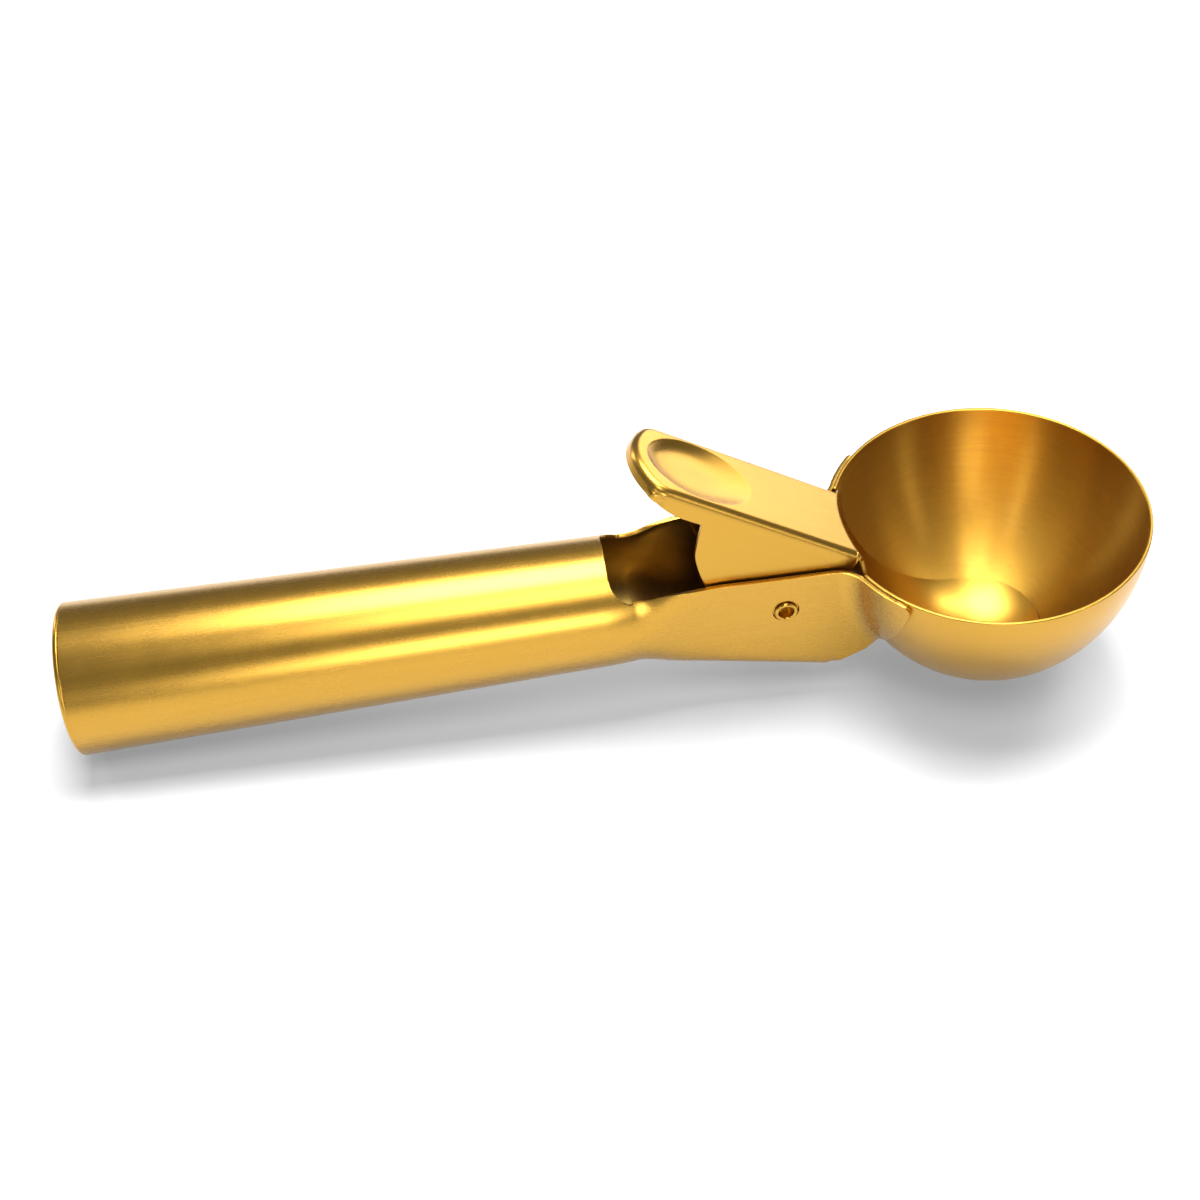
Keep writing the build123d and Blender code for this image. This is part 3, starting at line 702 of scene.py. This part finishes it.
def build_rivet(size, materials):
    """Tube turned about Y with a half circle rolled outwards at each end."""
    bore, wall = size.rivet_bore, size.rivet_wall
    seat = size.cheek_half_width - HEAD_SUNK
    roll, shank = seat + wall, bore + wall
    angle = np.linspace(np.pi, ROLL_END, 28)
    end = np.stack([roll + wall * np.sin(angle), shank + wall * np.cos(angle)], 1)
    outside = [(seat - SEAT_DEPTH, shank), (SEAT_DEPTH - seat, shank)]
    inside = [(0.3 * MM - roll, bore), (roll - 0.3 * MM, bore)]
    profile = np.concatenate([inside, end, outside, end[::-1] * np.array([-1, 1]), inside[:1]])
    around = np.linspace(0, RIVET_MAP, 73)[:, None]
    skin = Surface()
    skin.add(turned_across(profile, PIVOT, 73), around, run_length(profile)[None], flip=True)
    low, (near, far) = seat - SEAT_DEPTH, SEAT_RADII
    for side in (1, -1):
        ring = np.array([(seat, near), (seat, far), (low, far), (low, near), (seat, near)]) * np.array([side, 1])
        skin.add(turned_across(ring, PIVOT, 73), around, ring[None, :, 1], flip=side > 0)
    return skin.piece("rolled_rivet", materials)


def build_spring(size, materials):
    """Round wire along a path: a straight leg to the fork's floor, a helix round the pivot and a straight
    leg up under the plate. The wire's circle is square to the path."""
    angle = np.linspace(0, 2 * np.pi * SPRING_TURNS, 260)
    x, z = size.coil_radius * np.cos(SPRING_START + angle), size.coil_radius * np.sin(SPRING_START + angle)
    coil = np.stack([x, SPRING_PITCH * (SPRING_TURNS / 2 - angle / (2 * np.pi)), z], 1)
    first, last = coil[0] - coil[1], coil[-1] - coil[-2]
    reach = np.linspace(0, 1, 12)[:, None]
    floor_leg = coil[0] + first / np.linalg.norm(first) * SPRING_LEGS[0] * reach[::-1]
    plate_leg = coil[-1] + last / np.linalg.norm(last) * SPRING_LEGS[1] * reach
    path = np.concatenate([floor_leg[:-1], coil, plate_leg[1:]]) + PIVOT
    ahead = np.gradient(path, axis=0)
    ahead /= np.linalg.norm(ahead, axis=1)[:, None]
    side = np.array([0, 1, 0]) - ahead[:, 1:2] * ahead
    side /= np.linalg.norm(side, axis=1)[:, None]
    other = np.cross(ahead, side)
    turn = np.linspace(0, 2 * np.pi, 17)[None, :, None]
    ring = size.wire_radius * (np.cos(turn) * side[:, None] + np.sin(turn) * other[:, None])
    tips = np.stack([path[0] + 0 * ring[0], path[-1] + 0 * ring[-1]])
    grid = np.concatenate([tips[:1], path[:, None] + ring, tips[1:]])
    run = np.pad(run_length(path), 1, mode="edge")
    skin = Surface()
    skin.add(grid, np.linspace(0, WIRE_MAP, 17)[None], run[:, None])
    return skin.piece("spring_wire", materials)


# Materials ----------------------------------------------------------------------------------------

# Places and slopes that marks follow.
ALONG_HANDLE = (HANDLE_REAR, HANDLE_SLOPE)
ALONG_PLATE = (RIM_CENTRE, BOWL_TILT - PLATE_SLOPE)
ROUND_BOWL = (RIM_CENTRE, BOWL_TILT)
AT_PIVOT = (PIVOT, 0.0)
# Finishes: colour and darker colour, roughness and how much the marks vary it, anisotropy, coat, strength of
# the marks' bump and their share in the colour, then what the marks follow and their stretch. Three
# stretches lie along, across and up from that slope; two lie round the axis and out from it.
FINISHES = {
    "gilt tube": ("gilt", "gilt_shade", 0.25, 0.08, 0.3, 0.3, 0.07, 0.5, ALONG_HANDLE, (8, 2200, 2200)),
    # The colour of the inner faces of the tube and the fork is painted shade of the hollow; their roughness and marks
    # are their own.
    "gilt tube inside": ("gilt_inside_painted_shade", "gilt_shade", 0.30, 0.10, 0.5, 0.2, 0.3, 0.6, ALONG_HANDLE, (18, 1400, 1400)),
    "gilt end": ("gilt", "gilt_shade", 0.28, 0.08, 0.0, 0.2, 0.2, 0.5, ALONG_HANDLE, (900, 30, 900)),
    "gilt bowl outside": ("gilt", "gilt_shade", 0.30, 0.06, 0.3, 0.2, 0.15, 0.4, ROUND_BOWL, (3, 900)),
    "gilt bowl inside": ("gilt_spun", "gilt_shade", 0.36, 0.16, 0.92, 0.2, 0.5, 1.0, ROUND_BOWL, (5, 5000)),
    "gilt thumb plate": ("gilt", "gilt_shade", 0.27, 0.10, 0.5, 0.3, 0.12, 0.6, ALONG_PLATE, (25, 2200, 2200)),
    "gilt flange": ("gilt", "gilt_shade", 0.29, 0.05, 0.0, 0.2, 0.1, 0.3, ALONG_PLATE, (60, 900, 900)),
    "gilt rivet": ("gilt", "gilt_shade", 0.20, 0.05, 0.0, 0.2, 0.1, 0.3, AT_PIVOT, (900, 900, 900)),
    "plain steel": ("steel", "steel_shade", 0.30, 0.10, 0.0, 0.2, 0.2, 0.6, AT_PIVOT, (900, 200, 900)),
}
COAT_ROUGHNESS = 0.3
MARK_DEPTH = 0.02 * MM
# Shares of the fine marks and of the coarse bands in the pattern, and of the smears in the roughness.
MARK_SHARE, BAND_SHARE, SMEAR_SHARE = 0.6, 0.4, 0.02


def node_group(name, inputs, outputs):
    """Empty shader node group with named inputs and outputs, and its two end nodes."""
    group = bpy.data.node_groups.new(name, "ShaderNodeTree")
    for label, kind, default in inputs:
        socket = group.interface.new_socket(name=label, in_out="INPUT", socket_type=kind)
        if default is not None:
            socket.default_value = default
    for label, kind in outputs:
        group.interface.new_socket(name=label, in_out="OUTPUT", socket_type=kind)
    return group, group.nodes.new("NodeGroupInput"), group.nodes.new("NodeGroupOutput")


def feed(tree, value, socket):
    """Gives an input socket a number, or the output of another node."""
    if isinstance(value, bpy.types.NodeSocket):
        tree.links.new(value, socket)
    else:
        socket.default_value = value


def math_node(tree, operation, *values):
    """Math node with sockets or numbers as its inputs; returns its output socket."""
    node = tree.nodes.new("ShaderNodeMath")
    node.operation = operation
    for number, value in enumerate(values):
        feed(tree, value, node.inputs[number])
    return node.outputs[0]


def noise_node(tree, vector, scale, detail, roughness):
    """Noise texture on a vector; returns its factor."""
    node = tree.nodes.new("ShaderNodeTexNoise")
    for label, value in (("Vector", vector), ("Scale", scale), ("Detail", detail), ("Roughness", roughness)):
        feed(tree, value, node.inputs[label])
    return node.outputs["Fac"]


def mix_node(tree, factor, first, second):
    """Mix of two colours; returns its result."""
    node = tree.nodes.new("ShaderNodeMix")
    node.data_type = "RGBA"
    node.inputs["A"].default_value = (*first, 1.0)
    node.inputs["B"].default_value = (*second, 1.0)
    tree.links.new(factor, node.inputs["Factor"])
    return node.outputs["Result"]


def brush_marks():
    """Scratches of a brush: fine and coarse noise on coordinates that are stretched along the strokes."""
    group, start, end = node_group(
        "Brush Marks",
        [("Vector", "NodeSocketVector", None), ("Fine", "NodeSocketFloat", 1.0), ("Coarse", "NodeSocketFloat", 0.25)],
        [("Marks", "NodeSocketFloat"), ("Bands", "NodeSocketFloat")],
    )
    vector, fine, coarse = start.outputs["Vector"], start.outputs["Fine"], start.outputs["Coarse"]
    group.links.new(noise_node(group, vector, fine, 4.0, 0.65), end.inputs["Marks"])
    group.links.new(noise_node(group, vector, coarse, 2.0, 0.5), end.inputs["Bands"])
    return group


def handling():
    """Faint cloudy smears left by handling: two sizes of soft noise multiplied."""
    group, start, end = node_group(
        "Handling Smears",
        [("Vector", "NodeSocketVector", None), ("Size", "NodeSocketFloat", 60.0)],
        [("Smears", "NodeSocketFloat")],
    )
    vector, wide = start.outputs["Vector"], start.outputs["Size"]
    small = math_node(group, "MULTIPLY", wide, 4.0)
    both = math_node(
        group, "MULTIPLY", noise_node(group, vector, wide, 2.0, 0.5), noise_node(group, vector, small, 3.0, 0.6)
    )
    group.links.new(math_node(group, "MULTIPLY", both, 4.0), end.inputs["Smears"])
    return group


def use_group(tree, name, build, vector):
    """Node group in a material, built on first use; returns its outputs."""
    node = tree.nodes.new("ShaderNodeGroup")
    node.node_tree = bpy.data.node_groups.get(name) or build()
    tree.links.new(vector, node.inputs["Vector"])
    return node.outputs


def place_on(tree, centre, slope):
    """Object coordinates measured from a point and turned about Y, so that X runs along a part's own axis."""
    source = tree.nodes.new("ShaderNodeTexCoord")
    mapping = tree.nodes.new("ShaderNodeMapping")
    mapping.vector_type = "TEXTURE"
    mapping.inputs["Location"].default_value = centre
    mapping.inputs["Rotation"].default_value = (0.0, -slope, 0.0)
    tree.links.new(source.outputs["Object"], mapping.inputs["Vector"])
    return mapping.outputs["Vector"]


def strokes_along(tree, place, along, across, up):
    """Coordinates for marks along an axis: the place multiplied axis by axis."""
    node = tree.nodes.new("ShaderNodeVectorMath")
    node.operation = "MULTIPLY"
    tree.links.new(place, node.inputs[0])
    node.inputs[1].default_value = (along, across, up)
    return node.outputs[0]


def strokes_round(tree, place, around, out):
    """Coordinates for marks round an axis: the angle, and the distance from the axis less the height."""
    split = tree.nodes.new("ShaderNodeSeparateXYZ")
    tree.links.new(place, split.inputs[0])
    x, y, z = split.outputs
    angle = math_node(tree, "ARCTAN2", y, x)
    squares = math_node(tree, "ADD", math_node(tree, "MULTIPLY", x, x), math_node(tree, "MULTIPLY", y, y))
    level = math_node(tree, "SUBTRACT", math_node(tree, "SQRT", squares), z)
    join = tree.nodes.new("ShaderNodeCombineXYZ")
    tree.links.new(math_node(tree, "MULTIPLY", angle, around), join.inputs[0])
    tree.links.new(math_node(tree, "MULTIPLY", level, out), join.inputs[1])
    return join.outputs[0]


def metal(name, colours):
    """Brushed metal from the table of finishes. The marks show in its colour, roughness and bump."""
    tint, shade, roughness, spread, anisotropy, coat, bump, share, follow, stretch = FINISHES[name]
    material = bpy.data.materials.new(name)
    material.use_nodes = True
    tree = material.node_tree
    shader = tree.nodes["Principled BSDF"]
    shader.inputs["Metallic"].default_value = 1.0
    shader.inputs["Anisotropic"].default_value = anisotropy
    shader.inputs["Coat Weight"].default_value = coat
    shader.inputs["Coat Roughness"].default_value = COAT_ROUGHNESS
    place = place_on(tree, *follow)
    strokes = (strokes_along if len(stretch) == 3 else strokes_round)(tree, place, *stretch)
    marks = use_group(tree, "Brush Marks", brush_marks, strokes)
    smears = use_group(tree, "Handling Smears", handling, place)
    fine = math_node(tree, "MULTIPLY", marks["Marks"], MARK_SHARE)
    both = math_node(tree, "ADD", fine, math_node(tree, "MULTIPLY", marks["Bands"], BAND_SHARE))
    factor = math_node(tree, "MULTIPLY", both, share)
    mix = mix_node(tree, factor, getattr(colours, tint), getattr(colours, shade))
    tree.links.new(mix, shader.inputs["Base Color"])
    rough = math_node(tree, "ADD", math_node(tree, "MULTIPLY", both, spread), roughness - spread / 2)
    rough = math_node(tree, "ADD", rough, math_node(tree, "MULTIPLY", smears["Smears"], SMEAR_SHARE))
    tree.links.new(rough, shader.inputs["Roughness"])
    relief = tree.nodes.new("ShaderNodeBump")
    relief.inputs["Strength"].default_value = bump
    relief.inputs["Distance"].default_value = MARK_DEPTH
    tree.links.new(both, relief.inputs["Height"])
    tree.links.new(relief.outputs["Normal"], shader.inputs["Normal"])
    if anisotropy:
        tangent = tree.nodes.new("ShaderNodeTangent")
        tangent.direction_type = "UV_MAP"
        tangent.uv_map = "surface"
        tree.links.new(tangent.outputs["Tangent"], shader.inputs["Tangent"])
    return material


def finishes(context, *names):
    """Finishes by name, each made on first use."""
    colours = context.scene.scoop_colours
    return [bpy.data.materials.get(name) or metal(name, colours) for name in names]


# Stage --------------------------------------------------------------------------------------------

CAMERA_PLACE = (-0.03621, -0.24186, 0.26611)
# Direction from the scene back to the camera.
CAMERA_BACK = (-0.0994, -0.6994, 0.7078)
CAMERA_LENS = 54.46
FLOOR_REACH = 3.0
FLOOR_TOP = -0.05 * MM
SURROUNDINGS = 0.19
# Soft lights: name, place, target, width, height and power in watts.
MIDDLE = (0.0, 0.0, 0.02)
LIGHTS = (
    ("overhead light", (0.0, 0.18, 0.75), (0.0, 0.18, 0.0), 0.34, 0.44, 5.6),
    ("right overhead light", (0.34, 0.14, 0.72), (0.3, 0.14, 0.0), 0.14, 0.42, 1.7),
    ("front overhead light", (0.0, -0.30, 0.72), MIDDLE, 0.26, 0.28, 1.3),
    ("front strip light", (0.0, -1.0, 0.30), MIDDLE, 0.30, 0.28, 2.2),
    ("front left light", (-0.72, -0.80, 0.42), MIDDLE, 0.14, 0.5, 1.0),
    ("front right light", (0.80, -0.75, 0.42), MIDDLE, 0.14, 0.5, 1.0),
    ("back right light", (0.68, 0.86, 0.56), (0.0, 0.0, 0.05), 0.7, 0.9, 5.4),
    ("back left light", (-0.75, 0.80, 0.40), (0.05, 0.0, 0.02), 0.24, 0.5, 1.8),
)


def add_light(name, place, target, wide, tall, power):
    """Rectangular soft light aimed at a point."""
    data = bpy.data.lights.new(name, "AREA")
    data.shape = "RECTANGLE"
    data.size, data.size_y = wide, tall
    data.energy = power
    light = add_object(name, data)
    light.location = place
    light.rotation_euler = (Vector(target) - Vector(place)).to_track_quat("-Z", "Y").to_euler()


def add_camera():
    """Camera above and in front of the handle side, aimed at the middle of the scoop."""
    data = bpy.data.cameras.new("camera")
    data.lens = CAMERA_LENS
    data.sensor_width = 36.0
    data.clip_start, data.clip_end = 0.01, 20.0
    camera = add_object("camera", data)
    camera.location = CAMERA_PLACE
    camera.rotation_euler = Vector(CAMERA_BACK).to_track_quat("Z", "Y").to_euler()
    bpy.context.scene.camera = camera


def add_floor(colours):
    """Large flat floor, a grid of four faces, in a matt pale finish with a faint mottle."""
    material = bpy.data.materials.new("floor")
    material.use_nodes = True
    tree = material.node_tree
    shader = tree.nodes["Principled BSDF"]
    shader.inputs["Roughness"].default_value = 0.7
    shader.inputs["Specular IOR Level"].default_value = 0.1
    source = tree.nodes.new("ShaderNodeTexCoord")
    mottle = noise_node(tree, source.outputs["Object"], 40.0, 2.0, 0.5)
    mix = mix_node(tree, mottle, colours.floor, [0.98 * value for value in colours.floor])
    tree.links.new(mix, shader.inputs["Base Color"])
    line = np.linspace(-FLOOR_REACH, FLOOR_REACH, 3)
    x, y = np.meshgrid(line, line, indexing="ij")
    skin = Surface()
    skin.add(np.stack([x, y, 0 * x + FLOOR_TOP], -1), x, y)
    floor = skin.piece("floor", [material])


def add_world(strength):
    """Dim, even surroundings."""
    world = bpy.data.worlds.new("studio")
    world.use_nodes = True
    background = world.node_tree.nodes["Background"]
    background.inputs["Color"].default_value = (1.0, 1.0, 1.0, 1.0)
    background.inputs["Strength"].default_value = strength
    bpy.context.scene.world = world


# Operators ----------------------------------------------------------------------------------------


class ScoopOperator:
    """Shared by the operators: their steps can be undone."""

    bl_options = {"REGISTER", "UNDO"}


class SCOOP_OT_handle(ScoopOperator, bpy.types.Operator):
    """Add the handle with its fork and the wrap on the bowl"""

    bl_idname = "scoop.handle"
    bl_label = "Handle"

    def execute(self, context):
        size = context.scene.scoop_sizes
        piece = build_handle(size, finishes(context, "gilt tube", "gilt tube inside"))
        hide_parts("handle")
        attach(piece, "scoop_body")
        cap = build_end_cap(size, finishes(context, "gilt end"))
        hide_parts("end_cap")
        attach(cap, "scoop_body")
        return {"FINISHED"}


class SCOOP_OT_bowl(ScoopOperator, bpy.types.Operator):
    """Add the bowl with its notch"""

    bl_idname = "scoop.bowl"
    bl_label = "Bowl"

    def execute(self, context):
        size = context.scene.scoop_sizes
        piece = build_bowl(size, finishes(context, "gilt bowl outside", "gilt bowl inside"))
        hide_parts("bowl")
        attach(piece, "scoop_body")
        return {"FINISHED"}


class SCOOP_OT_lever(ScoopOperator, bpy.types.Operator):
    """Add the thumb lever with its flanges and blade"""

    bl_idname = "scoop.lever"
    bl_label = "Lever"

    def execute(self, context):
        size = context.scene.scoop_sizes
        piece = build_lever(size, finishes(context, "gilt thumb plate", "gilt flange"))
        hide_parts("lever")
        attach(piece, "lever_body")
        return {"FINISHED"}


class SCOOP_OT_pivot(ScoopOperator, bpy.types.Operator):
    """Add the rivet, the sleeve's finish and the spring"""

    bl_idname = "scoop.pivot"
    bl_label = "Pivot and Spring"

    def execute(self, context):
        size = context.scene.scoop_sizes
        rivet = build_rivet(size, finishes(context, "gilt rivet"))
        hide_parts("pivot_rivet")
        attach(rivet, "scoop_body")
        steel = finishes(context, "plain steel")
        spring = build_spring(size, steel)
        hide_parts("return_spring")
        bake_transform(spring)
        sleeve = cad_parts["pivot_sleeve"]
        sleeve.data.materials.clear()
        sleeve.data.materials.append(steel[0])
        return {"FINISHED"}


class SCOOP_OT_stage(ScoopOperator, bpy.types.Operator):
    """Add the floor, the soft lights and the camera"""

    bl_idname = "scoop.stage"
    bl_label = "Stage"

    def execute(self, context):
        add_floor(context.scene.scoop_colours)
        add_world(SURROUNDINGS)
        for light in LIGHTS:
            add_light(*light)
        add_camera()
        context.scene.view_settings.view_transform = "Standard"
        return {"FINISHED"}


OPERATORS = (SCOOP_OT_handle, SCOOP_OT_bowl, SCOOP_OT_lever, SCOOP_OT_pivot, SCOOP_OT_stage)


class SCOOP_PT_panel(bpy.types.Panel):
    """Scoop sizes, colours and build steps"""

    bl_idname = "SCOOP_PT_panel"
    bl_label = "Ice Cream Scoop"
    bl_space_type = "VIEW_3D"
    bl_region_type = "UI"
    bl_category = "Scoop"

    def draw(self, context):
        for group in (context.scene.scoop_sizes, context.scene.scoop_colours):
            column = self.layout.column(align=True)
            for name in group.__annotations__:
                column.prop(group, name)
        column = self.layout.column(align=True)
        for operator in OPERATORS:
            column.operator(operator.bl_idname)


CLASSES = (ScoopSizes, ScoopColours, *OPERATORS, SCOOP_PT_panel)


def register():
    """Registers the classes and puts the sizes and colours on the scene."""
    for item in CLASSES:
        bpy.utils.register_class(item)
    bpy.types.Scene.scoop_sizes = bpy.props.PointerProperty(type=ScoopSizes)
    bpy.types.Scene.scoop_colours = bpy.props.PointerProperty(type=ScoopColours)


def unregister():
    """Takes the sizes, colours and classes away again."""
    del bpy.types.Scene.scoop_colours
    del bpy.types.Scene.scoop_sizes
    for item in reversed(CLASSES):
        bpy.utils.unregister_class(item)


def main():
    """Builds the scoop and its stage."""
    register()
    bpy.ops.scoop.handle()
    bpy.ops.scoop.bowl()
    bpy.ops.scoop.lever()
    bpy.ops.scoop.pivot()
    bpy.ops.scoop.stage()


if __name__ == "__main__":
    main()
